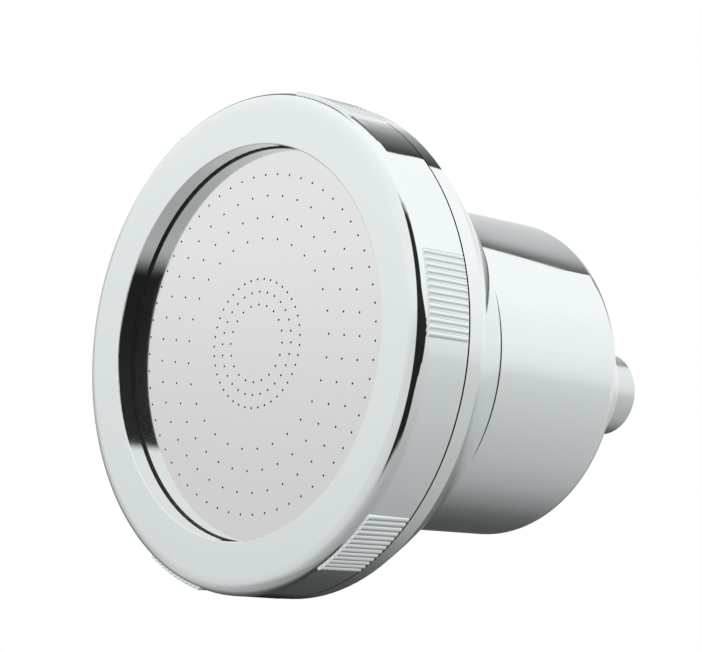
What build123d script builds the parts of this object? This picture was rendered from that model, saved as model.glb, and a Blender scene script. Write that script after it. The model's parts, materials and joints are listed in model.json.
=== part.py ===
from build123d import *
import os
from math import cos, radians, sin

# A fixed shower head with a filter canister, hung on a ball joint.
# Millimetres. The head's axis is Y: the face looks along -Y and the inlet opens along +Y. +Z is up.
# The origin is the centre of the inlet's mouth. A depth is a distance from that mouth towards the face.

# Inlet hub and ball, one turned piece
thread_bore = 18.63
thread_length = 9.4
hub_diameter = 24.0
hub_front_wall = 0.9
hub_chamfer = 0.8
neck_diameter = 17.0
waterway = 10.0
ball_diameter = 29.0
ball_depth = 26.2
ball_nose_cut = 3.5

# What sits in the inlet
washer_thickness = 2.0
washer_hole = 12.0
washer_side_gap = 0.1
washer_seat_step = 0.3
screen_thickness = 0.5
screen_hole = 1.0
screen_hole_pitch = 1.7
screen_hole_rows = 5
limiter_diameter = 12.0
limiter_length = 4.0
limiter_orifice = 3.2
limiter_funnel = 1.2

# Ball joint
ball_gap = 0.15
liner_thickness = 1.0
liner_near = 1.8
liner_far = 5.6
nut_wall = 2.5
nut_rim_inset = 5.3
nut_boss_gap = 0.6
nut_edge = 1.2
socket_wall = 1.8
socket_thread_gap = 0.3
socket_bore_gap = 0.7
socket_mouth = 2.6
seal_setback = 6.0
seal_height = 3.8
seal_width = 3.3
ball_room = 0.4

# Canister
canister_diameter = 87.4
canister_setback = 19.4
canister_length = 66.4
canister_wall = 3.0
canister_floor = 3.5
canister_edge = 4.3
canister_inner_edge = 2.0
boss_length = 6.0
passage = 18.0
spigot_socket = 24.0
spigot_socket_wall = 2.6
spigot_socket_length = 7.9

# Filter cartridge
cartridge_play = 2.2
cartridge_wall = 1.6
cartridge_floor = 2.0
cartridge_reach = 13.0
cartridge_fit = 0.4
cartridge_guide_gap = 0.2
cartridge_guides = 6
guide_width = 2.4
guide_length = 11.0
guide_setback = 1.0
spigot_wall = 2.2
spigot_length = 6.5
plenum = 3.0
plenum_ribs = 8
plenum_rib_width = 1.6
layer_gap = 0.2
pad_thickness = 3.0
screen_disc = 0.8
metal_media_height = 12.0
cap_thickness = 3.2
cap_skirt = 3.0
cap_skirt_wall = 1.6
cap_slots = 18
cap_slot_width = 2.2
cap_slot_inner = 9.0
cap_slot_rim = 4.0

# O-rings and their grooves
oring_slack = 0.03
cartridge_oring = 1.5
canister_oring = 1.8
groove_side_gap = 0.3

# Inner body that carries the collar
body_spigot_wall = 3.2
body_ledge = 1.5
body_ledge_drop = 4.0
body_socket_wall = 3.8
body_cover_gap = 1.7
body_fit = 0.1
body_stop = 2.4
body_stop_lip = 2.5
body_land = 2.5
body_cone_wall = 3.4

# Conical cover
cover_step = 0.05
cover_reach = 13.8
cover_land = 4.3
cover_depth = 31.66
cover_wall = 2.4
cover_tip = 0.2
cover_bulge = 1.0
cover_fit = 0.05
cover_tip_land = 1.2
cover_ring_thickness = 0.3
cover_ring_show = 0.65

# Collar
parting_gap = 0.55
collar_diameter = 127.0
collar_draft = 0.3
collar_length = 16.2
collar_edge = 3.8
collar_skirt_wall = 3.05
collar_thread_gap = 0.35
face_rim = 13.6
face_dish = 0.55
face_bore_edge = 0.3
lip_thickness = 5.05
lip_core_depth = 2.0
lip_core_inner_wall = 3.0
lip_core_outer_wall = 2.95

# Ribbed grips on the collar
grip_patches = 6
grip_phase = 4.1
grip_ribs = 13
grip_rib_pitch = 1.49
grip_rib_width = 1.5
grip_rib_height = 0.55
grip_back_setback = 0.4
grip_front_setback = 2.7

# Spray plate and its gasket
plate_inset = 2.1
plate_thickness = 0.8
gasket_front = 0.6
gasket_back = 1.5
gasket_show = 0.2
gasket_grip = 3.5
gasket_web = 1.2
plate_gap = 0.1
jet_diameter = 0.62
jet_sides = 8
jet_margin = 6.65
outer_ring_step = 5.443
ring_gap = 10.37
inner_ring_step = 3.265
inner_ring_jets = (20, 28, 41)
inner_ring_turns = (5.7, 5.55, 3.65)
outer_ring_jets = (29, 35, 41, 59)
outer_ring_turns = (7.8, 8.15, 8.35, 8.85)

# Support behind the plate
support_rim = 3.2
support_rim_height = 3.5
support_rim_gap = 0.3
support_ring_width = 3.0
support_spokes = 6
support_spoke_width = 3.0
support_spoke_setback = 3.6
support_plate_gap = 0.2


def turned(*corners):
    """Solid turned about the Y axis from (radius, depth) corners; a third value rounds that corner."""
    outline = make_face(Polyline(*[(c[0], -c[1]) for c in corners], close=True))
    for corner in corners:
        if len(corner) == 3:
            vertex = outline.vertices().sort_by_distance((corner[0], -corner[1]))[0]
            outline = fillet(vertex, corner[2])
    return revolve(outline, Axis.Y)


def tube(outer, inner, start, end):
    """Plain ring between two depths."""
    return turned((inner, start), (outer, start), (outer, end), (inner, end))


def disc(radius, start, end):
    """Plain disc between two depths."""
    return turned((0, start), (radius, start), (radius, end), (0, end))


def oring(inner, section, depth):
    """O-ring that just clears its seat inside and its groove outside."""
    return Pos(0, -depth, 0) * Rot(90, 0, 0) * Torus(inner + section / 2, section / 2 - oring_slack)


def groove(outer, inner, section, depth):
    """Ring to cut for an O-ring, a little wider than its section."""
    half_width = section / 2 + groove_side_gap
    return tube(outer, inner, depth - half_width, depth + half_width)


def across(depth):
    """Plane square to the axis at a depth, looking towards the face, with X to the right and Z up."""
    return Plane((0, -depth, 0), x_dir=(1, 0, 0), z_dir=(0, -1, 0))


def ball(radius):
    """Ball about the centre of the joint."""
    return Pos(0, -ball_depth, 0) * Sphere(radius)


# Radii and depths that several pieces share
bore_radius = thread_bore / 2
hub_radius = hub_diameter / 2
ball_radius = ball_diameter / 2
washer_seat_radius = bore_radius - washer_seat_step
washer_depth = thread_length + washer_thickness
screen_depth = washer_depth + screen_thickness
hub_length = screen_depth + hub_front_wall
limiter_radius = limiter_diameter / 2
liner_radius = ball_radius + ball_gap + liner_thickness
socket_bore = ball_radius + socket_bore_gap
socket_radius = socket_bore + socket_wall
socket_back = ball_depth + socket_mouth
seal_front = ball_depth + ball_radius - seal_setback
nut_radius = socket_radius + socket_thread_gap + nut_wall
nut_rim_depth = ball_depth - ball_radius + nut_rim_inset

canister_radius = canister_diameter / 2
canister_bore = canister_radius - canister_wall
canister_back = ball_depth + canister_setback
canister_inside = canister_back + canister_floor
canister_front = canister_back + canister_length
boss_back = canister_back - boss_length
nut_front = boss_back - nut_boss_gap
spigot_socket_radius = spigot_socket / 2
spigot_socket_end = canister_inside + spigot_socket_length

cartridge_radius = canister_bore - cartridge_play
cartridge_bore = cartridge_radius - cartridge_wall
case_back = spigot_socket_end
case_front = canister_front + cartridge_reach
spigot_radius = spigot_socket_radius - cartridge_fit
spigot_groove_radius = spigot_socket_radius - cartridge_oring
cartridge_seal_depth = case_back - spigot_length / 2
layer_radius = cartridge_bore - layer_gap
inlet_pad_back = case_back + cartridge_floor + plenum
metal_media_back = inlet_pad_back + pad_thickness
media_screen_back = metal_media_back + metal_media_height
calcium_media_back = media_screen_back + screen_disc
outlet_pad_front = case_front - cap_skirt
outlet_pad_back = outlet_pad_front - pad_thickness
cap_front = case_front + cap_thickness

collar_radius = collar_diameter / 2
skirt_bore = collar_radius - collar_skirt_wall
face_bore = collar_radius - face_rim
cover_front = canister_front + cover_reach
cover_back = cover_front - cover_depth
collar_back = cover_front + parting_gap
collar_front = collar_back + collar_length
lip_back = collar_front - lip_thickness
gasket_face = lip_back - plate_gap
plate_face = gasket_face - gasket_front
plate_back = plate_face - plate_thickness
gasket_rear = plate_back - gasket_back
body_front = gasket_rear - plate_gap

body_radius = skirt_bore - collar_thread_gap
body_bore = body_radius - body_spigot_wall
ledge_bore = body_bore - body_ledge
ledge_depth = body_front - body_ledge_drop
cover_radius = collar_radius - cover_step
cover_bore = body_radius + body_fit
cover_bend = cover_front - cover_land
cover_ring_bore = canister_radius + cover_fit
cover_ring_radius = cover_ring_bore + cover_ring_thickness
cover_tip_radius = cover_ring_radius + cover_fit
cover_tip_front = cover_back + cover_tip_land
cover_rise = (cover_bend - cover_tip_front) / (cover_bore - cover_tip_radius)
mouth_radius = canister_radius + body_fit
mouth_outside = mouth_radius + body_socket_wall
mouth_start = cover_tip_front + (mouth_outside - cover_tip_radius) * cover_rise + body_cover_gap
canister_seal_depth = (mouth_start + canister_front) / 2

plate_radius = body_radius - plate_inset
gasket_radius = plate_radius + gasket_web
gasket_sight = face_bore - gasket_show
outer_ring_radius = gasket_sight - jet_margin - outer_ring_step * (len(outer_ring_jets) - 1)
inner_ring_radius = outer_ring_radius - ring_gap - inner_ring_step * (len(inner_ring_jets) - 1)


def swivel_stem():
    """Inlet hub, neck and ball; the bore steps down from thread to washer, limiter and waterway."""
    hub = turned(
        (0, 0),
        (hub_radius - hub_chamfer, 0),
        (hub_radius, hub_chamfer),
        (hub_radius, hub_length - hub_chamfer),
        (hub_radius - hub_chamfer, hub_length),
        (neck_diameter / 2, hub_length),
        (neck_diameter / 2, ball_depth),
        (0, ball_depth),
    )
    stem = hub + ball(ball_radius)
    stem -= disc(bore_radius, 0, thread_length)
    stem -= disc(washer_seat_radius, thread_length, screen_depth)
    stem -= disc(limiter_radius, screen_depth, screen_depth + limiter_length)
    stem -= disc(waterway / 2, screen_depth + limiter_length, ball_depth + ball_radius)
    stem -= disc(ball_radius, ball_depth + ball_radius - ball_nose_cut, ball_depth + ball_radius)
    return stem


def inlet_washer():
    """Rubber washer that the pipe's end presses on."""
    return tube(washer_seat_radius - washer_side_gap, washer_hole / 2, thread_length, washer_depth)


def inlet_screen():
    """Strainer disc under the washer."""
    sheet = disc(washer_seat_radius - washer_side_gap, washer_depth, screen_depth)
    places = HexLocations(screen_hole_pitch / 2, screen_hole_rows, screen_hole_rows)
    holes = Sketch() + places * RegularPolygon(screen_hole / 2, 6)
    return sheet - extrude(across(washer_depth) * holes, screen_thickness)


def flow_limiter():
    """Orifice with a funnel mouth, pushed into the stem behind the screen."""
    limiter_end = screen_depth + limiter_length
    orifice_radius = limiter_orifice / 2
    return turned(
        (orifice_radius + limiter_funnel, screen_depth),
        (limiter_radius, screen_depth),
        (limiter_radius, limiter_end),
        (orifice_radius, limiter_end),
        (orifice_radius, screen_depth + limiter_funnel),
    )


def ball_liner():
    """Bearing ring, round inside and outside about the ball's centre."""
    shell = ball(liner_radius) - ball(ball_radius + ball_gap)
    return shell & disc(liner_radius, ball_depth - liner_far, ball_depth - liner_near)


def ball_seal():
    """Rubber seat in the socket, hollowed to the ball."""
    ring = tube(socket_bore, socket_bore - seal_width, seal_front - seal_height, seal_front)
    return ring - ball(ball_radius + ball_gap)


def ball_nut():
    """Round nut screwed on the canister's neck; its rim is hollowed to the bearing ring."""
    seat_radius = liner_radius + ball_gap
    nut = turned(
        (0, nut_rim_depth),
        (nut_radius, nut_rim_depth, nut_edge),
        (nut_radius, nut_front),
        (0, nut_front),
    )
    nut -= ball(seat_radius)
    nut -= disc(seat_radius, ball_depth, nut_front)
    nut -= disc(socket_radius + socket_thread_gap, socket_back - socket_thread_gap, nut_front)
    return nut


def filter_canister():
    """Chromed can: rounded floor, a threaded neck behind it and a socket for the cartridge inside."""
    can = turned(
        (0, canister_back),
        (canister_radius, canister_back, canister_edge),
        (canister_radius, canister_front),
        (canister_bore, canister_front),
        (canister_bore, canister_inside, canister_inner_edge),
        (0, canister_inside),
    )
    can += disc(nut_radius, boss_back, canister_back)
    can += disc(socket_radius, socket_back, boss_back)
    can += disc(spigot_socket_radius + spigot_socket_wall, canister_inside, spigot_socket_end)
    can -= disc(socket_bore, socket_back, seal_front)
    can -= ball(ball_radius + ball_room)
    can -= disc(passage / 2, ball_depth, canister_inside)
    can -= disc(spigot_socket_radius, canister_inside, spigot_socket_end)
    return can


def cartridge_case():
    """Cup with an inlet spigot, ribs that hold the pad off its floor and guides that centre it."""
    floor_front = case_back + cartridge_floor
    case = turned(
        (0, case_back),
        (cartridge_radius, case_back),
        (cartridge_radius, case_front),
        (cartridge_bore, case_front),
        (cartridge_bore, floor_front),
        (0, floor_front),
    )
    case += disc(spigot_radius, case_back - spigot_length, case_back)
    case -= disc(spigot_radius - spigot_wall, case_back - spigot_length, floor_front)
    case -= groove(spigot_radius, spigot_groove_radius, cartridge_oring, cartridge_seal_depth)
    rib_length = cartridge_bore - spigot_radius
    rib_centre = (cartridge_bore + spigot_radius) / 2
    rib = Rectangle(rib_length, plenum_rib_width)
    ribs = Sketch() + PolarLocations(rib_centre, plenum_ribs) * rib
    case += extrude(across(floor_front) * ribs, plenum)
    guide_height = canister_bore - cartridge_guide_gap - cartridge_bore
    guide_radius = cartridge_bore + guide_height / 2
    guide = Rectangle(guide_height, guide_width)
    guides = Sketch() + PolarLocations(guide_radius, cartridge_guides) * guide
    guide_back = canister_front - guide_setback - guide_length
    case += extrude(across(guide_back) * guides, guide_length)
    return case


def cartridge_cap():
    """Slotted cap whose skirt plugs into the case."""
    cap = disc(cartridge_radius, case_front, cap_front)
    cap += tube(layer_radius, layer_radius - cap_skirt_wall, outlet_pad_front, case_front)
    slot_outer = layer_radius - cap_slot_rim
    slot_length = slot_outer - cap_slot_inner
    slot_radius = (slot_outer + cap_slot_inner) / 2
    slot = SlotOverall(slot_length, cap_slot_width)
    slots = Sketch() + PolarLocations(slot_radius, cap_slots) * slot
    return cap - extrude(across(case_front) * slots, cap_thickness)


def cartridge_seal():
    """O-ring on the cartridge's spigot."""
    return oring(spigot_groove_radius, cartridge_oring, cartridge_seal_depth)


def canister_seal():
    """O-ring round the canister, in the inner body's groove."""
    return oring(canister_radius, canister_oring, canister_seal_depth)


def head_body():
    """Inner body: a socket over the canister's mouth, a cone and a spigot for the collar's thread."""
    stop_front = canister_front + body_stop
    stop_bore = canister_bore - cartridge_guide_gap + body_stop_lip / 2
    land_back = cover_bend + cover_land - body_land
    cone_inner = mouth_outside - body_cone_wall / 2
    body = turned(
        (mouth_radius, mouth_start),
        (mouth_outside, mouth_start),
        (mouth_outside, canister_front - body_cone_wall),
        (body_radius - body_land, cover_bend),
        (body_radius, land_back),
        (body_radius, body_front),
        (body_bore, body_front),
        (body_bore, ledge_depth),
        (ledge_bore, ledge_depth),
        (ledge_bore, cover_bend + body_land),
        (cone_inner + body_cone_wall, stop_front),
        (stop_bore, stop_front),
        (stop_bore, canister_front),
        (mouth_radius, canister_front),
    )
    return body - groove(canister_radius + canister_oring, mouth_radius, canister_oring, canister_seal_depth)


def rear_cover():
    """Thin conical shell, slightly bowed, from the collar's joint line to the canister."""
    tip = (cover_tip_radius + cover_tip, -cover_back)
    bend = (cover_radius, -cover_bend)
    slope = Vector(*bend) - Vector(*tip)
    outward = Vector(-slope.Y, slope.X).normalized()
    middle = (Vector(*tip) + Vector(*bend)) / 2 + outward * cover_bulge
    inner_tip = (cover_tip_radius, -cover_tip_front)
    inner_bend = (cover_bore, -cover_bend)
    outline = Polyline((cover_tip_radius, -cover_back), tip)
    outline += ThreePointArc(tip, middle, bend)
    outline += Polyline(bend, (cover_radius, -cover_front), (cover_bore, -cover_front), inner_bend)
    outline += ThreePointArc(inner_bend, middle - outward * cover_wall, inner_tip)
    outline += Line(inner_tip, (cover_tip_radius, -cover_back))
    return revolve(make_face(outline), Axis.Y)


def cover_ring():
    """Thin rubber ring under the cover's tip, seen as the dark line where the cover meets the canister."""
    return tube(cover_ring_radius, cover_ring_bore, cover_back - cover_ring_show, cover_tip_front)


def grip_rib():
    """One half-round rib along the collar's side at +X, cut off square where the rolled edge falls away."""
    half_width = grip_rib_width / 2
    rib_radius = (half_width**2 + grip_rib_height**2) / (2 * grip_rib_height)
    centre = collar_radius - collar_draft / 2 + grip_rib_height - rib_radius
    section = across(collar_back + grip_back_setback) * Pos(centre, 0) * Circle(rib_radius)
    return extrude(section, collar_length - grip_back_setback - grip_front_setback)


def front_collar():
    """Chromed collar: rolled edge, dished face, bright bore, threaded skirt and six patches of grip ribs."""
    front_radius = collar_radius - collar_draft
    core_inner = face_bore + lip_core_inner_wall
    core_outer = skirt_bore - lip_core_outer_wall
    collar = turned(
        (skirt_bore, collar_back),
        (collar_radius, collar_back),
        (front_radius, collar_front, collar_edge),
        (face_bore, collar_front - face_dish, face_bore_edge),
        (face_bore, lip_back),
        (core_inner, lip_back),
        (core_inner, lip_back + lip_core_depth),
        (core_outer, lip_back + lip_core_depth),
        (core_outer, lip_back),
        (skirt_bore, lip_back),
    )
    first = -(grip_ribs - 1) / 2 * grip_rib_pitch
    patches = [grip_phase + 360 / grip_patches * k for k in range(grip_patches)]
    angles = [a + first + grip_rib_pitch * k for a in patches for k in range(grip_ribs)]
    rib = grip_rib()
    return collar + [Rot(0, -angle, 0) * rib for angle in angles]


def plate_gasket():
    """Rubber channel round the plate's edge: a thin front lip, a web and a thick back lip."""
    return turned(
        (gasket_sight, plate_face),
        (gasket_sight, gasket_face),
        (gasket_radius, gasket_face),
        (gasket_radius, gasket_rear),
        (plate_radius - gasket_grip, gasket_rear),
        (plate_radius - gasket_grip, plate_back),
        (plate_radius, plate_back),
        (plate_radius, plate_face),
    )


def jet_places():
    """Centres of the jets, ring by ring; a ring's turn is measured from -X towards +Z."""
    inner = [(inner_ring_radius + inner_ring_step * k) for k in range(len(inner_ring_jets))]
    outer = [(outer_ring_radius + outer_ring_step * k) for k in range(len(outer_ring_jets))]
    rings = zip(inner + outer, inner_ring_jets + outer_ring_jets, inner_ring_turns + outer_ring_turns)
    for radius, count, turn in rings:
        for k in range(count):
            angle = radians(turn + 360 / count * k)
            yield Location((-radius * cos(angle), radius * sin(angle), 0))


def spray_plate():
    """Thin plate with laser-cut jets; at half a millimetre across, eight sides read as round."""
    jets = [place * RegularPolygon(jet_diameter / 2, jet_sides) for place in jet_places()]
    sheet = Circle(plate_radius) - jets
    return extrude(across(plate_back) * sheet, plate_thickness)


def plate_support():
    """Spider on the body's ledge: its ring backs the plate between the jets and stops the cartridge."""
    rim_outer = body_bore - support_rim_gap
    rim_inner = rim_outer - support_rim
    support_ring_radius = outer_ring_radius - ring_gap / 2
    ring_inner = support_ring_radius - support_ring_width / 2
    ring_outer = support_ring_radius + support_ring_width / 2
    support = tube(rim_outer, rim_inner, ledge_depth, ledge_depth + support_rim_height)
    support += tube(ring_outer, ring_inner, cap_front, plate_back - support_plate_gap)
    spoke_length = rim_inner - support_ring_radius + support_rim / 2
    spoke_middle = support_ring_radius + spoke_length / 2
    spoke = Rectangle(spoke_length, support_spoke_width)
    spokes = Sketch() + PolarLocations(spoke_middle, support_spokes) * spoke
    spoke_height = plate_back - support_spoke_setback - cap_front
    return support + extrude(across(cap_front) * spokes, spoke_height)


pieces = {
    "swivel_stem": swivel_stem(),
    "inlet_washer": inlet_washer(),
    "inlet_screen": inlet_screen(),
    "flow_limiter": flow_limiter(),
    "ball_liner": ball_liner(),
    "ball_seal": ball_seal(),
    "ball_nut": ball_nut(),
    "filter_canister": filter_canister(),
    "canister_seal": canister_seal(),
    "head_body": head_body(),
    "rear_cover": rear_cover(),
    "cover_ring": cover_ring(),
    "cartridge_case": cartridge_case(),
    "cartridge_cap": cartridge_cap(),
    "cartridge_seal": cartridge_seal(),
    "inlet_pad": disc(layer_radius, inlet_pad_back, metal_media_back),
    "copper_zinc_media": disc(layer_radius, metal_media_back, media_screen_back),
    "media_screen": disc(layer_radius, media_screen_back, calcium_media_back),
    "calcium_media": disc(layer_radius, calcium_media_back, outlet_pad_back),
    "outlet_pad": disc(layer_radius, outlet_pad_back, outlet_pad_front),
    "plate_support": plate_support(),
    "plate_gasket": plate_gasket(),
    "spray_plate": spray_plate(),
    "front_collar": front_collar(),
}

os.makedirs("parts", exist_ok=True)
for name, piece in pieces.items():
    export_step(piece, f"parts/{name}.step")
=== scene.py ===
# %% [markdown]
# A round chromed shower head on a ball joint, with a filter canister behind its face.
# The solids were modelled first and come in as a fixed frame, in metres, with the face towards -Y, the inlet at
# the origin and +Z up. This file gives them their finishes, adds the two screw threads, and sets up the camera and
# a plain studio. Nothing in the frame is moved or reshaped here.

# %% Load the solids
import json
from math import asin, cos, pi, radians, sin, sqrt

import bpy
from mathutils import Matrix, Vector

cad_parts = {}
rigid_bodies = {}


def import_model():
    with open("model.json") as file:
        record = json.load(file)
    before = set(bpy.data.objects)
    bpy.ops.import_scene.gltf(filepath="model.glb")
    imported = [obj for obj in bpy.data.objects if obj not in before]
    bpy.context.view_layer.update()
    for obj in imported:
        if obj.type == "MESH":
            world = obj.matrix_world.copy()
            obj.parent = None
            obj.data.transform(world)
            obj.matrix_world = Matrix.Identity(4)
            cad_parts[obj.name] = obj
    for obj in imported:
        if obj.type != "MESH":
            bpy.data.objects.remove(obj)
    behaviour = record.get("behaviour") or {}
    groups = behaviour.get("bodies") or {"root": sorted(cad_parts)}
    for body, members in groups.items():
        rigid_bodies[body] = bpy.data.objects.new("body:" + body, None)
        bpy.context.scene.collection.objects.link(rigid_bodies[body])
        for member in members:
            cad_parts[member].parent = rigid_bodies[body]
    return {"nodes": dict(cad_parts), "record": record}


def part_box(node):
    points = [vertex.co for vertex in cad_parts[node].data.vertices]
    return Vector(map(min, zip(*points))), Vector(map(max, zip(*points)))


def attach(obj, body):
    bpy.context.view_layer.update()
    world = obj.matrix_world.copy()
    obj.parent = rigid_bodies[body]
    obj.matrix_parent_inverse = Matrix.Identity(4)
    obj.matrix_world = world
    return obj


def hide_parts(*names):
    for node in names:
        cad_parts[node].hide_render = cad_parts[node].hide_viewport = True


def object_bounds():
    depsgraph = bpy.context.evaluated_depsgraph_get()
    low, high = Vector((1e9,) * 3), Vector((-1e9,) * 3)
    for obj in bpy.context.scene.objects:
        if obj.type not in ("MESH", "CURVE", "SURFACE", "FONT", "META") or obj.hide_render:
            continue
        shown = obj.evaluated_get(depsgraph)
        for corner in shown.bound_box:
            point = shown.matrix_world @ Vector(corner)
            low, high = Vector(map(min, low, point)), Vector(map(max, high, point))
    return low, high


for stray in list(bpy.data.objects):
    bpy.data.objects.remove(stray)
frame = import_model()
nodes = frame["nodes"]
solid_box = [list(corner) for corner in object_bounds()]
print("solids:", len(nodes), "box in mm:", [[round(1000 * v, 2) for v in c] for c in solid_box])

# %% [markdown]
# The camera stands where the photographer stood. The seven rings of jets are circles of known size, so the
# ellipses that they make in the picture give the place, the direction and the focal length. The view comes from
# the front right and a little below, so the camera looks slightly up, without a roll.

# %% Camera
camera_place = (0.39691, -0.48379, -0.08474)
camera_right = Vector((0.6916, 0.7223, 0.0)).normalized()
camera_up = Vector((0.1206, -0.1154, 0.9860)).normalized()
camera_lens = 108.73


def place_camera():
    data = bpy.data.cameras.new("studio_camera")
    data.lens = camera_lens
    data.sensor_width = 36.0
    data.clip_start = 0.01
    camera = bpy.data.objects.new("studio_camera", data)
    back = camera_right.cross(camera_up).normalized()
    up = back.cross(camera_right)
    turn = Matrix((camera_right, up, back)).transposed().to_4x4()
    camera.matrix_world = Matrix.Translation(camera_place) @ turn
    bpy.context.scene.collection.objects.link(camera)
    bpy.context.scene.camera = camera
    return camera


camera = place_camera()
print("camera at", [round(v, 3) for v in camera.location], "lens", round(camera.data.lens, 1))

# %% [markdown]
# Node trees are wired by hand in this file, so four small helpers keep the wiring readable. One adds a node and
# fills its inputs, one fills a single input, one does a sum, and one maps a value from one range to another with
# soft ends.

# %% Wiring helpers
def add(tree, kind, settings=None, **inputs):
    """Adds a node, sets its options, and fills or links its inputs by name or number."""
    node = tree.nodes.new(kind)
    for name, value in (settings or {}).items():
        setattr(node, name, value)
    for name, value in inputs.items():
        key = int(name[1:]) if name[0] == "i" and name[1:].isdigit() else name.replace("_", " ")
        fill(tree, node.inputs[key], value)
    return node


def fill(tree, socket, value):
    """Links an output to a socket, or sets the socket's own value."""
    if isinstance(value, bpy.types.NodeSocket):
        tree.links.new(value, socket)
    else:
        socket.default_value = value


def sums(tree, operation, *values):
    """One step of arithmetic, returned as an output."""
    node = tree.nodes.new("ShaderNodeMath")
    node.operation = operation
    for socket, value in zip(node.inputs, values):
        fill(tree, socket, value)
    return node.outputs[0]


def soft_step(tree, value, start, end, low=0.0, high=1.0):
    """Goes smoothly from low to high while value goes from start to end."""
    node = add(tree, "ShaderNodeMapRange", {"interpolation_type": "SMOOTHSTEP"})
    for socket, v in zip(node.inputs[:5], (value, start, end, low, high)):
        fill(tree, socket, v)
    return node.outputs[0]


print("wiring helpers ready")

# %% [markdown]
# Chrome has hardly any colour of its own: what is seen on it is the studio. Real lamps and cloths could stand
# round the head, but a mirror only needs to know how bright each direction is. So the studio is drawn in the
# world's shader as a function of direction, which is read as two angles. The helpers turn angles into greys: a
# ramp with stops, a blend of two greys, a band with soft edges, and a shade laid over a light.

# %% Direction helpers
def studio_directions(tree):
    """A ray's x and y, and its azimuth and elevation in degrees; azimuth 0 is -Y and 90 is +X."""
    coords = add(tree, "ShaderNodeTexCoord")
    x, y, z = add(tree, "ShaderNodeSeparateXYZ", Vector=coords.outputs["Generated"]).outputs
    turn = sums(tree, "ARCTAN2", x, sums(tree, "MULTIPLY", y, -1.0))
    lift = sums(tree, "ARCSINE", z)
    return x, y, sums(tree, "DEGREES", turn), sums(tree, "DEGREES", lift)


def grey_ramp(tree, value, low, high, stops):
    """Grey that follows (value, grey) stops between low and high."""
    ramp = add(tree, "ShaderNodeValToRGB")
    place = sums(tree, "DIVIDE", sums(tree, "SUBTRACT", value, low), high - low)
    tree.links.new(place, ramp.inputs[0])
    elements = ramp.color_ramp.elements
    while len(elements) < len(stops):
        elements.new(0.5)
    for element, (at, grey) in zip(elements, stops):
        element.position = (at - low) / (high - low)
        element.color = (grey, grey, grey, 1)
    return ramp.outputs[0]


def blend(tree, share, first, second):
    """Goes from first to second as share goes from 0 to 1."""
    node = add(tree, "ShaderNodeMix", {"data_type": "FLOAT"}, Factor=share)
    fill(tree, node.inputs[2], first)
    fill(tree, node.inputs[3], second)
    return node.outputs[0]


def band(tree, value, low, high, soft):
    """1 between low and high, with soft edges."""
    rise = soft_step(tree, value, low - soft, low + soft)
    fall = soft_step(tree, value, high - soft, high + soft, 1.0, 0.0)
    return sums(tree, "MULTIPLY", rise, fall)


def shade(tree, light, mask, depth):
    """Darkens light by depth where mask is 1."""
    left = sums(tree, "MULTIPLY_ADD", mask, -depth, 1.0)
    return sums(tree, "MULTIPLY", light, left)


print("direction helpers ready")

# %% [markdown]
# The studio is a white tent, brightest above, over a grey floor. Its front left side is a little greyer and its
# horizon lies higher there. The greys by elevation were judged from what the plain faces and the long sides of
# the head mirror.

# %% White tent
back_stops = [(-90, 0.34), (-60, 0.40), (-43, 0.46), (-32, 0.53), (-17, 0.61), (-12, 0.635), (-8, 0.665),
              (-5.5, 0.685), (-3, 0.765), (-1, 0.805), (1.5, 0.85), (5.5, 0.895), (12, 0.935), (20, 0.96),
              (30, 1.02), (90, 1.05)]
front_stops = [(-90, 0.30), (-58, 0.42), (-42, 0.50), (-25, 0.66), (-9, 0.71), (2, 0.71), (6, 0.74), (9, 0.815),
               (11.5, 0.89), (15, 0.91), (30, 0.92), (50, 0.95), (70, 1.02), (90, 1.05)]
world = bpy.data.worlds.new("studio")
bpy.context.scene.world = world
world.use_nodes = True
tree = world.node_tree
tree.nodes.clear()
x, y, azimuth, elevation = studio_directions(tree)
to_front_left = sums(tree, "ADD", sums(tree, "MULTIPLY", x, -0.50), sums(tree, "MULTIPLY", y, -0.87))
front_share = soft_step(tree, to_front_left, -0.05, 0.40)
light = blend(tree, front_share, grey_ramp(tree, elevation, -90, 90, back_stops),
              grey_ramp(tree, elevation, -90, 90, front_stops))
print("white tent:", len(back_stops), "and", len(front_stops), "stops")

# %% [markdown]
# The tent is open where the photographer stands, and the opening is dark. It gives the black band on the collar's
# rolled edge and the black wall on the left of the recess, which sees it by way of the plate. Its near edge leans
# a little, and its far edge reaches furthest at the horizon.

# %% Dark opening on the camera's side
leaning = sums(tree, "MULTIPLY_ADD", elevation, -0.20, azimuth)
near_edge = soft_step(tree, leaning, 19, 25)
reach = soft_step(tree, sums(tree, "ABSOLUTE", elevation), 4, 20, 88, 60)
far_edge = soft_step(tree, sums(tree, "SUBTRACT", azimuth, reach), -3, 3, 1.0, 0.0)
opening = sums(tree, "MULTIPLY", sums(tree, "MULTIPLY", near_edge, far_edge), band(tree, elevation, -38, 48, 6))
light = shade(tree, light, opening, 0.975)
print("dark opening: azimuth 22 to 88 degrees at the horizon")

# %% [markdown]
# A dark cloth hangs high behind on the left. Its straight hem gives the sharp wedges on the collar and the
# canister, and it gets lighter away from the hem. A fold divides it into a lower and a darker upper part. Angles
# behind the head are counted from straight behind, positive to the left.

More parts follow.
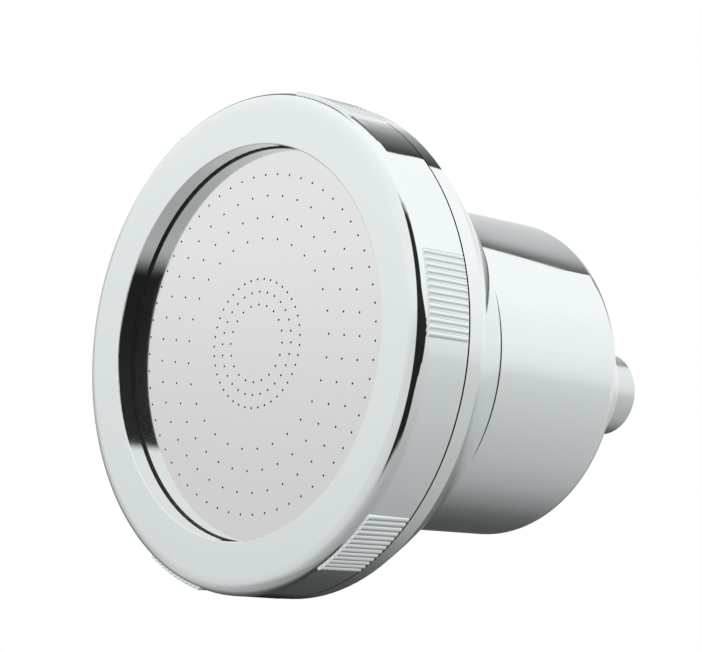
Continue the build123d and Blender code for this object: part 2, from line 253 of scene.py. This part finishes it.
# %% Cloth with a straight hem
lower_stops = [(0, 0.11), (4, 0.20), (8, 0.32), (12, 0.42), (18, 0.51), (26, 0.57), (36, 0.63), (45, 0.72),
               (60, 1.0)]
upper_stops = [(0, 0.04), (9, 0.12), (14, 0.165), (22, 0.23), (28, 0.31), (35, 0.45), (39, 0.80), (43, 1.0),
               (60, 1.0)]
behind = sums(tree, "SUBTRACT", sums(tree, "MODULO", sums(tree, "ADD", azimuth, 360.0), 360.0), 180.0)
hem = sums(tree, "MULTIPLY_ADD", elevation, 2.57, -112.2)
hem = sums(tree, "MINIMUM", sums(tree, "MAXIMUM", hem, -6.0), 8.0)
inside = sums(tree, "SUBTRACT", behind, hem)
fold = sums(tree, "MULTIPLY_ADD", sums(tree, "MULTIPLY", behind, behind), 0.0098, elevation)
cloth = blend(tree, soft_step(tree, fold, 43.4, 46.0), grey_ramp(tree, inside, 0, 60, lower_stops),
              grey_ramp(tree, inside, 0, 60, upper_stops))
hung = sums(tree, "MULTIPLY", soft_step(tree, inside, -0.4, 0.4), soft_step(tree, behind, 40, 58, 1.0, 0.0))
hung = sums(tree, "MULTIPLY", hung, band(tree, elevation, 18, 60, 5))
light = blend(tree, hung, light, cloth)
print("cloth:", len(lower_stops), "and", len(upper_stops), "stops")

# %% [markdown]
# The room is dim low behind on the left, which gives the undersides of the canister and the collar their shadow.
# The horizon of this corner rises a little behind the head, so that the cover's rolled rim stays as grey as the
# cover beside it. The floor is greyer towards the front left too, below the collar's face.

# %% Dim corner low behind on the left
corner_stops = [(-20, 1.0), (-10, 0.95), (4, 0.79), (18, 0.50), (29, 0.26), (38, 0.15), (46, 0.10), (54, 0.12),
                (64, 0.25), (74, 0.40), (83, 0.66), (93, 0.92), (100, 1.0)]
raised = sums(tree, "MULTIPLY_ADD", soft_step(tree, behind, -4, 8), -6.0, elevation)
in_corner = soft_step(tree, raised, 2, -7)
corner = blend(tree, in_corner, 1.0, grey_ramp(tree, behind, -20, 100, corner_stops))
light = sums(tree, "MULTIPLY", light, corner)
grey_floor = sums(tree, "MULTIPLY", band(tree, azimuth, -112, -46, 8), soft_step(tree, elevation, -10, -32))
light = shade(tree, light, grey_floor, 0.25)
print("dim corner:", len(corner_stops), "stops")

# %% [markdown]
# A mirror seen at its very edge shows what stands straight behind it. A tall dark screen there draws the thin
# line that sets the collar off from the white background, and a lower grey screen beside it widens that line on
# the left.

# %% Screens behind the outline
screen_stops = [(40, 1.0), (45, 1.0), (48, 0.22), (66, 0.30), (76, 0.55), (92, 0.66), (108, 0.80), (122, 0.97),
                (130, 1.0)]
low_screen = grey_ramp(tree, behind, 40, 130, screen_stops)
light = sums(tree, "MULTIPLY", light, blend(tree, band(tree, elevation, -14, 20, 5), 1.0, low_screen))
tall_screen = sums(tree, "MULTIPLY", band(tree, behind, 46.5, 66, 2), band(tree, elevation, 22, 82, 6))
light = shade(tree, light, tall_screen, 0.75)
print("screens:", len(screen_stops), "stops")

# %% [markdown]
# The camera itself sees a plain white background, at a strength of one. All other rays see the studio.

# %% White background
studio_light = add(tree, "ShaderNodeBackground", Strength=light, Color=(1, 1, 1, 1))
white = add(tree, "ShaderNodeBackground", Strength=1.0, Color=(1, 1, 1, 1))
ray = add(tree, "ShaderNodeLightPath")
choice = add(tree, "ShaderNodeMixShader", i0=ray.outputs["Is Camera Ray"], i1=studio_light.outputs[0],
             i2=white.outputs[0])
add(tree, "ShaderNodeOutputWorld", Surface=choice.outputs[0])
print("studio world:", len(tree.nodes), "nodes")

# %% [markdown]
# The floor is a pale sheet well below the head, which hangs on its pipe. In the photograph's view it lies out of
# the picture. From above it shows the head's soft shadow, and further out it turns to the white of the
# background. A finish that glows only far out, and only for the camera, keeps both.

# %% Floor
floor_drop = 0.09
floor_half_width = 3.0


def floor_paper():
    """Pale paper with a fine grain that turns to the white of the background further out."""
    paper = bpy.data.materials.new("floor_paper")
    paper.use_nodes = True
    tree = paper.node_tree
    tree.nodes.clear()
    coords = add(tree, "ShaderNodeTexCoord")
    away = add(tree, "ShaderNodeVectorMath", {"operation": "LENGTH"}, i0=coords.outputs["Object"])
    far = soft_step(tree, away.outputs["Value"], 0.45, 1.3)
    tooth = add(tree, "ShaderNodeTexNoise", Vector=coords.outputs["Object"], Scale=900.0, Detail=4.0)
    dents = add(tree, "ShaderNodeBump", Strength=0.05, Distance=0.0005, Height=tooth.outputs["Fac"])
    sheet = add(tree, "ShaderNodeBsdfDiffuse", Color=(0.86, 0.86, 0.86, 1), Normal=dents.outputs["Normal"])
    glow = add(tree, "ShaderNodeEmission", Color=(1, 1, 1, 1), Strength=1.0)
    ray = add(tree, "ShaderNodeLightPath")
    seen_far = sums(tree, "MULTIPLY", far, ray.outputs["Is Camera Ray"])
    mix = add(tree, "ShaderNodeMixShader", i0=seen_far, i1=sheet.outputs[0], i2=glow.outputs[0])
    add(tree, "ShaderNodeOutputMaterial", Surface=mix.outputs[0])
    return paper


def pale_floor(height, half):
    mesh = bpy.data.meshes.new("floor")
    corners = [(-half, -half), (half, -half), (half, half), (-half, half)]
    mesh.from_pydata([(x, y, height) for x, y in corners], [], [(0, 1, 2, 3)])
    mesh.materials.append(floor_paper())
    floor = bpy.data.objects.new("floor", mesh)
    bpy.context.scene.collection.objects.link(floor)
    floor.visible_glossy = False
    return floor


floor = pale_floor(solid_box[0][2] - floor_drop, floor_half_width)
print("floor at z", round(floor.data.vertices[0].co.z, 3))

# %% [markdown]
# The world lights the head from all sides. One large lamp overhead gives the shadow on the floor its direction.
# It is hidden from mirrors, because the tent above already is what the chrome shows.

# %% Lamp
def overhead_lamp(place, side, power):
    data = bpy.data.lights.new("softbox", "AREA")
    data.shape = "SQUARE"
    data.size = side
    data.energy = power
    lamp = bpy.data.objects.new("softbox", data)
    aim = Vector((0, -0.09, 0)) - Vector(place)
    lamp.matrix_world = Matrix.Translation(place) @ aim.to_track_quat("-Z", "Y").to_matrix().to_4x4()
    lamp.visible_glossy = False
    bpy.context.scene.collection.objects.link(lamp)
    return lamp


lamp = overhead_lamp(place=(0.25, -0.30, 0.80), side=0.7, power=3.5)
print("lamp", lamp.data.energy, "W,", round(lamp.data.size, 2), "m wide")

# %% [markdown]
# Each finish starts from the same shader, with what varies over the surface driven by noise on the piece's own
# coordinates, so the pattern stays with the piece. A finish is a small function, so its numbers stand together:
# colour, roughness and the height of the grain. What is the same all over is set on the shader itself.

# %% Finish helpers
def finish(name, colour, metallic, settings=None):
    """A material with its shader, ready for procedural detail. Returns the material, its tree and its shader."""
    made = bpy.data.materials.new(name)
    made.use_nodes = True
    tree = made.node_tree
    tree.nodes.clear()
    shader = add(tree, "ShaderNodeBsdfPrincipled", Base_Color=(*colour, 1), Metallic=metallic,
                 **(settings or {}))
    add(tree, "ShaderNodeOutputMaterial", Surface=shader.outputs[0])
    return made, tree, shader


def noise(tree, scale, detail=3.0, stretch=(1, 1, 1)):
    """Noise on the piece's own coordinates, in metres, drawn out along an axis if asked."""
    coords = add(tree, "ShaderNodeTexCoord")
    mapping = add(tree, "ShaderNodeMapping", Vector=coords.outputs["Object"], Scale=stretch)
    pattern = add(tree, "ShaderNodeTexNoise", Vector=mapping.outputs[0], Scale=scale, Detail=detail)
    return pattern.outputs["Fac"]


def roughness_between(tree, shader, pattern, low, high):
    """Roughness that follows a pattern from low to high."""
    fill(tree, shader.inputs["Roughness"], soft_step(tree, pattern, 0.3, 0.7, low, high))


def tone_between(tree, shader, share, dark, pale):
    """Colour that goes from dark to pale as share goes from 0 to 1."""
    tone = add(tree, "ShaderNodeMix", {"data_type": "RGBA"}, Factor=share)
    fill(tree, tone.inputs[6], (*dark, 1))
    fill(tree, tone.inputs[7], (*pale, 1))
    tree.links.new(tone.outputs[2], shader.inputs["Base Color"])


def grain(tree, shader, pattern, height, strength=1.0):
    """Relief of a pattern, with its height in metres."""
    bump = add(tree, "ShaderNodeBump", Strength=strength, Distance=height, Height=pattern)
    tree.links.new(bump.outputs["Normal"], shader.inputs["Normal"])


finishes = {}
print("finish helpers ready")

# %% [markdown]
# The collar, the cover, the canister and the nut are plated plastic: a mirror with a faint haze and the slight
# waviness of a moulded wall. The stem is plated brass. Its lathe left fine rings round the axis, drawn here as
# noise that is squeezed along Y and drawn out across it, so it is a softer mirror.

# %% Chrome
def bright_chrome():
    made, tree, shader = finish("bright_chrome", (0.866, 0.916, 0.919), 1.0)
    roughness_between(tree, shader, noise(tree, 140, 5), 0.025, 0.05)
    grain(tree, shader, noise(tree, 60, 2), 0.00001, 0.25)
    return made


def turned_chrome():
    made, tree, shader = finish("turned_chrome", (0.755, 0.79, 0.792), 1.0)
    rings = noise(tree, 90, 4, (0.05, 12, 0.05))
    roughness_between(tree, shader, rings, 0.15, 0.22)
    grain(tree, shader, rings, 0.000004, 0.2)
    return made


finishes["chrome"] = bright_chrome()
stem_chrome = turned_chrome()
print("chrome:", finishes["chrome"].name, "and", stem_chrome.name)

# %% [markdown]
# The spray plate is thin stainless sheet with a satin face, smooth enough to mirror the wall of the recess beside
# it. The strainers inside are etched sheet, greyer and rougher.

# %% Steel
def satin_steel():
    made, tree, shader = finish("satin_steel", (0.850, 0.852, 0.854), 1.0)
    roughness_between(tree, shader, noise(tree, 300, 5), 0.075, 0.11)
    grain(tree, shader, noise(tree, 5000, 3), 0.000003, 0.15)
    return made


def strainer_steel():
    made, tree, shader = finish("strainer_steel", (0.66, 0.67, 0.68), 1.0)
    roughness_between(tree, shader, noise(tree, 900, 4), 0.28, 0.42)
    grain(tree, shader, noise(tree, 4000, 2), 0.00001, 0.5)
    return made


finishes["spray_steel"] = satin_steel()
finishes["strainer_steel"] = strainer_steel()
print("steel:", finishes["spray_steel"].name, "and", finishes["strainer_steel"].name)

# %% [markdown]
# The seals and the edge of the plate are matt black rubber. The inner body is dark moulded plastic and the filter
# cartridge is white. Moulded plastic has a faint mottle in its colour and the fine grain of a spark-eroded mould.

# %% Rubber and plastic
def black_rubber():
    made, tree, shader = finish("black_rubber", (0.012, 0.012, 0.013), 0.0)
    roughness_between(tree, shader, noise(tree, 700, 4), 0.55, 0.75)
    grain(tree, shader, noise(tree, 2600, 3), 0.00002, 0.5)
    return made


def moulded_plastic(name, dark, pale, low, high):
    made, tree, shader = finish(name, pale, 0.0)
    tone_between(tree, shader, noise(tree, 45, 4), dark, pale)
    roughness_between(tree, shader, noise(tree, 500, 4), low, high)
    grain(tree, shader, noise(tree, 3500, 2), 0.000012, 0.5)
    return made


finishes["black_rubber"] = black_rubber()
finishes["body_plastic"] = moulded_plastic("body_plastic", (0.035, 0.035, 0.038), (0.05, 0.05, 0.053), 0.38, 0.52)
finishes["white_plastic"] = moulded_plastic("white_plastic", (0.80, 0.80, 0.77), (0.86, 0.86, 0.84), 0.32, 0.45)
print("rubber and plastic:", [finishes[s].name for s in ("black_rubber", "body_plastic", "white_plastic")])

# %% [markdown]
# The cartridge holds layers of felt and granules. Felt is fibres lying in the plane of the pad, so its noise is
# squeezed along Y. Granules are cells, each with its own tone, rounded by their relief.

# %% Felt and granules
def needled_felt():
    made, tree, shader = finish("needled_felt", (0.86, 0.85, 0.81), 0.0, {"Roughness": 0.95})
    fibres = noise(tree, 1500, 6, (1, 6, 1))
    tone_between(tree, shader, fibres, (0.74, 0.72, 0.67), (0.92, 0.91, 0.88))
    grain(tree, shader, fibres, 0.0003, 0.8)
    return made


def loose_granules(name, dark, pale, metallic, size):
    made, tree, shader = finish(name, pale, metallic, {"Roughness": 0.45})
    coords = add(tree, "ShaderNodeTexCoord")
    cells = add(tree, "ShaderNodeTexVoronoi", Vector=coords.outputs["Object"], Scale=1 / size)
    tone_between(tree, shader, cells.outputs["Color"], dark, pale)
    dome = sums(tree, "SUBTRACT", 1.0, cells.outputs["Distance"])
    grain(tree, shader, dome, size / 2, 0.9)
    return made


finishes["felt"] = needled_felt()
finishes["copper_zinc"] = loose_granules("copper_zinc_granules", (0.45, 0.30, 0.11), (0.78, 0.60, 0.30), 0.9,
                                         0.0011)
finishes["calcium_granules"] = loose_granules("calcium_granules", (0.72, 0.69, 0.63), (0.90, 0.88, 0.84), 0.0,
                                              0.0016)
print("felt and granules:", [finishes[s].name for s in ("felt", "copper_zinc", "calcium_granules")])

# %% [markdown]
# The record says which finish each solid takes. A solid's shape is right as it comes, so it only needs its
# material slot filled.

# %% Dress the solids
for part in frame["record"]["subparts"]:
    for slot in nodes[part["node"]].material_slots:
        slot.material = finishes[part["material_slot"]]

# %% [markdown]
# Both threads follow a helix, so Geometry Nodes make them. A tree is built here with named inputs for its sizes,
# runs once on a piece, and leaves a plain mesh, so nothing live stays on the piece.

# %% Helpers for node trees
def node_inputs(tree, sizes):
    """Gives a tree one named number for each size and returns them as outputs."""
    for name, value in sizes:
        socket = tree.interface.new_socket(name, in_out="INPUT", socket_type="NodeSocketFloat")
        socket.default_value = value
    return add(tree, "NodeGroupInput").outputs


def close_tree(tree, geometry, material):
    """Ends a tree: real geometry, with its finish."""
    whole = add(tree, "GeometryNodeRealizeInstances", Geometry=geometry)
    dressed = add(tree, "GeometryNodeSetMaterial", Geometry=whole.outputs[0], Material=material)
    add(tree, "NodeGroupOutput", Geometry=dressed.outputs[0])
    return tree


def run_tree(piece, tree, sizes):
    """Runs a node tree on a piece with these sizes and leaves a plain mesh."""
    modifier = piece.modifiers.new(tree.name, "NODES")
    modifier.node_group = tree
    for socket in tree.interface.items_tree:
        if socket.item_type == "SOCKET" and socket.name in sizes:
            modifier[socket.identifier] = sizes[socket.name]
    bpy.context.view_layer.update()
    seen = piece.evaluated_get(bpy.context.evaluated_depsgraph_get())
    mesh = bpy.data.meshes.new_from_object(seen)
    mesh.name = piece.name
    piece.modifiers.clear()
    piece.data = mesh
    return piece


def new_piece(name, mesh=None):
    piece = bpy.data.objects.new(name, mesh or bpy.data.meshes.new(name))
    bpy.context.scene.collection.objects.link(piece)
    return piece


print("tree helpers ready")

# %% [markdown]
# The collar screws onto the spigot of the inner body with a coarse thread, three millimetres to the turn. It
# shows only when the collar is unscrewed. The thread is a small round section that follows a spiral curve, and
# the ends of the helix taper off, as a moulded thread's do.

# %% Thread on the spigot
def helix_tree(material):
    """A rounded section on a helix about the Y axis, tapered at both ends."""
    tree = bpy.data.node_groups.new("screw_helix", "GeometryNodeTree")
    tree.interface.new_socket("Geometry", in_out="OUTPUT", socket_type="NodeSocketGeometry")
    sizes = node_inputs(tree, (("Radius", 0.06), ("Turns", 2.0), ("Pitch", 0.003), ("Start", -0.127),
                               ("Section", 0.0003)))
    climb = sums(tree, "MULTIPLY", sizes["Pitch"], sizes["Turns"])
    helix = add(tree, "GeometryNodeCurveSpiral", Resolution=96, Rotations=sizes["Turns"],
                Start_Radius=sizes["Radius"], End_Radius=sizes["Radius"], Height=climb)
    along = add(tree, "GeometryNodeSplineParameter").outputs["Factor"]
    taper = band(tree, along, 0.05, 0.95, 0.05)
    tapered = add(tree, "GeometryNodeSetCurveRadius", Curve=helix.outputs[0], Radius=taper)
    section = add(tree, "GeometryNodeCurvePrimitiveCircle", Resolution=8, Radius=sizes["Section"])
    swept = add(tree, "GeometryNodeCurveToMesh", Curve=tapered.outputs[0], Profile_Curve=section.outputs[0],
                Fill_Caps=True)
    place = add(tree, "ShaderNodeCombineXYZ", Y=sizes["Start"])
    turned = add(tree, "GeometryNodeTransform", Geometry=swept.outputs[0], Translation=place.outputs[0],
                 Rotation=(pi / 2, 0, 0))
    return close_tree(tree, turned.outputs[0], material)


body_low, body_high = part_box("head_body")
spigot_sizes = {"Radius": body_high.x, "Turns": 2.2, "Pitch": 0.003, "Start": body_low.y + 0.0072,
                "Section": 0.0003}
spigot_thread = run_tree(new_piece("spigot_thread"), helix_tree(finishes["body_plastic"]), spigot_sizes)
for face in spigot_thread.data.polygons:
    face.use_smooth = True
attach(spigot_thread, "head")
depths = [1000 * v.co.y for v in spigot_thread.data.vertices]
print("spigot thread:", len(spigot_thread.data.polygons), "faces, y from", round(min(depths), 2), "to",
      round(max(depths), 2), "mm")

# %% [markdown]
# The inlet takes a pipe with a G 1/2 thread, 14 turns to the inch. In the solid its bore is plain, at the
# thread's minor diameter. So the stem is turned again here to the same sizes, in millimetres, as a lathe would:
# one outline of (radius, depth) points, spun about the Y axis. The bore gets twelve rings to the turn of the
# thread to work with.

# %% Stem turned with a fine bore
pipe_pitch = 25.4 / 14
bore_radius, bore_length = 9.315, 9.4
hub_radius, hub_length, hub_chamfer = 12.0, 12.8, 0.8
neck_radius = 8.5
ball_radius, ball_depth, ball_nose = 14.5, 26.2, 11.0
waterway_radius = 5.0
limiter_radius, limiter_depth = 6.0, 15.9
screen_radius, screen_depth = 9.015, 11.9


def stem_outline(rings_per_turn):
    """Outline from the mouth along the outside to the ball's nose and back through the waterway to the mouth."""
    hub = [(bore_radius, 0.0), (hub_radius - hub_chamfer, 0.0), (hub_radius, hub_chamfer),
           (hub_radius, hub_length - hub_chamfer), (hub_radius - hub_chamfer, hub_length),
           (neck_radius, hub_length)]
    first = asin(-sqrt(1 - (neck_radius / ball_radius) ** 2))
    last = asin(ball_nose / ball_radius)
    turns = [first + (last - first) * k / 48 for k in range(49)]
    ball = [(ball_radius * cos(t), ball_depth + ball_radius * sin(t)) for t in turns]
    inside = [(waterway_radius, ball_depth + ball_nose), (waterway_radius, limiter_depth),
              (limiter_radius, limiter_depth), (limiter_radius, screen_depth), (screen_radius, screen_depth),
              (screen_radius, bore_length)]
    rings = round(bore_length / pipe_pitch * rings_per_turn)
    bore = [(bore_radius, bore_length * (1 - k / rings)) for k in range(rings)]
    return hub + ball + inside + bore


def spun(name, outline, segments):
    """Mesh of a closed outline of (radius, depth) points in millimetres, spun about the Y axis."""
    angles = [2 * pi * k / segments for k in range(segments)]
    points = [(r * sin(a) / 1000, -d / 1000, r * cos(a) / 1000) for a in angles for r, d in outline]
    n = len(outline)
    faces = []
    for k in range(segments):
        here, there = k * n, (k + 1) % segments * n
        faces += [(here + i, here + (i + 1) % n, there + (i + 1) % n, there + i) for i in range(n)]
    mesh = bpy.data.meshes.new(name)
    mesh.from_pydata(points, [], faces)
    return mesh


threaded_stem = new_piece("threaded_stem", spun("threaded_stem", stem_outline(12), 128))
print("threaded stem:", len(threaded_stem.data.vertices), "points before the thread is cut")

# %% [markdown]
# Cutting the thread is a displacement: a point of the bore moves outwards by the depth of the groove at its place
# on the helix. The place is the height along the axis less the turn about it, so Geometry Nodes need only the
# point's position. The groove fades over half a turn at the mouth and at its inner end, where the tool runs out.

# %% Thread in the inlet
def thread_tree(material):
    """Moves the points of a bore about the Y axis outwards into a helical groove."""
    tree = bpy.data.node_groups.new("cut_thread", "GeometryNodeTree")
    tree.interface.new_socket("Geometry", in_out="INPUT", socket_type="NodeSocketGeometry")
    tree.interface.new_socket("Geometry", in_out="OUTPUT", socket_type="NodeSocketGeometry")
    sizes = node_inputs(tree, (("Bore", 0.009315), ("Length", 0.0094), ("Pitch", 0.0018), ("Depth", 0.0011)))
    spot = add(tree, "GeometryNodeInputPosition").outputs[0]
    x, y, z = add(tree, "ShaderNodeSeparateXYZ", Vector=spot).outputs
    depth = sums(tree, "MULTIPLY", y, -1.0)
    radius = sums(tree, "SQRT", sums(tree, "ADD", sums(tree, "MULTIPLY", x, x), sums(tree, "MULTIPLY", z, z)))
    on_bore = sums(tree, "COMPARE", radius, sizes["Bore"], 0.00001)
    turn = sums(tree, "DIVIDE", sums(tree, "ARCTAN2", x, z), 2 * pi)
    phase = sums(tree, "FRACT", sums(tree, "SUBTRACT", sums(tree, "DIVIDE", y, sizes["Pitch"]), turn))
    flank = sums(tree, "ABSOLUTE", sums(tree, "MULTIPLY_ADD", phase, 2.0, -1.0))
    groove = sums(tree, "MULTIPLY", soft_step(tree, flank, 0.95, 0.05), sizes["Depth"])
    half_turn = sums(tree, "MULTIPLY", sizes["Pitch"], 0.5)
    mouth = soft_step(tree, depth, 0.0, half_turn)
    end = soft_step(tree, sums(tree, "SUBTRACT", sizes["Length"], depth), 0.0, half_turn)
    cut = sums(tree, "MULTIPLY", groove, sums(tree, "MULTIPLY", mouth, end))
    outward = sums(tree, "DIVIDE", cut, radius)
    offset = add(tree, "ShaderNodeCombineXYZ", X=sums(tree, "MULTIPLY", x, outward),
                 Z=sums(tree, "MULTIPLY", z, outward))
    moved = add(tree, "GeometryNodeSetPosition", Geometry=sizes["Geometry"], Selection=on_bore,
                Offset=offset.outputs[0])
    return close_tree(tree, moved.outputs[0], material)


thread_cut = {"Bore": bore_radius / 1000, "Length": bore_length / 1000, "Pitch": pipe_pitch / 1000,
              "Depth": 0.00116}
run_tree(threaded_stem, thread_tree(stem_chrome), thread_cut)
threaded_stem.data.shade_smooth()
threaded_stem.data.set_sharp_from_angle(angle=radians(32))
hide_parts("swivel_stem")
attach(threaded_stem, "inlet")
in_bore = [v.co for v in threaded_stem.data.vertices if -bore_length < 1000 * v.co.y < -1]
groove_radius = max(r for r in (1000 * sqrt(c.x ** 2 + c.z ** 2) for c in in_bore) if r < hub_radius - 0.1)
print("threaded stem:", len(threaded_stem.data.polygons), "faces, thread", round(2 * groove_radius, 2),
      "mm across")

# %% [markdown]
# The visual model keeps to the box of the solids. The standard view transform keeps the written colours.
# The standard view transform keeps the written colours.

# %% Close
bpy.context.scene.view_settings.view_transform = "Standard"
